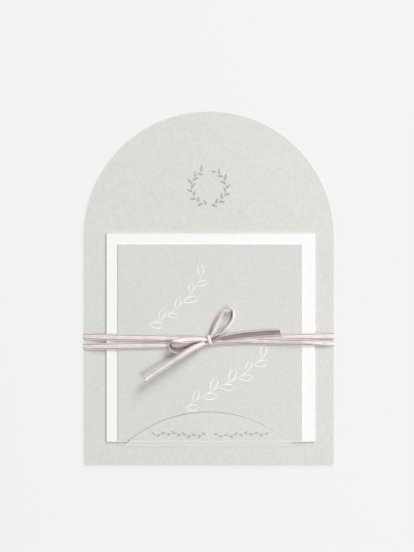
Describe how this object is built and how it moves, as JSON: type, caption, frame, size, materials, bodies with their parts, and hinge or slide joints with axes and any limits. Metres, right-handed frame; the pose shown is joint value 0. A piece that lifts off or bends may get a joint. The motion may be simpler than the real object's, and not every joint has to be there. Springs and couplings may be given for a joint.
{
  "type": "wedding invitation",
  "caption": "Arched backing card with a half-moon flap that holds a white and a grey square card, tied round with narrow satin ribbon in a bow.",
  "frame": {"origin": "on the surface that the invitation lies on, under the middle of the arched backing card", "axes": "+X across the card, +Y up the card towards the arch, +Z out of the printed front"},
  "size_m": [0.1206, 0.17, 0.0058],
  "materials": {
    "grey_paper": "matte uncoated card",
    "white_paper": "smooth matte card",
    "pink_satin": "satin ribbon"
  },
  "bodies": {
    "root": {"arch_backing": "grey_paper", "white_card": "white_paper", "grey_card": "grey_paper", "ribbon": "pink_satin"}
  },
  "joints": []
}
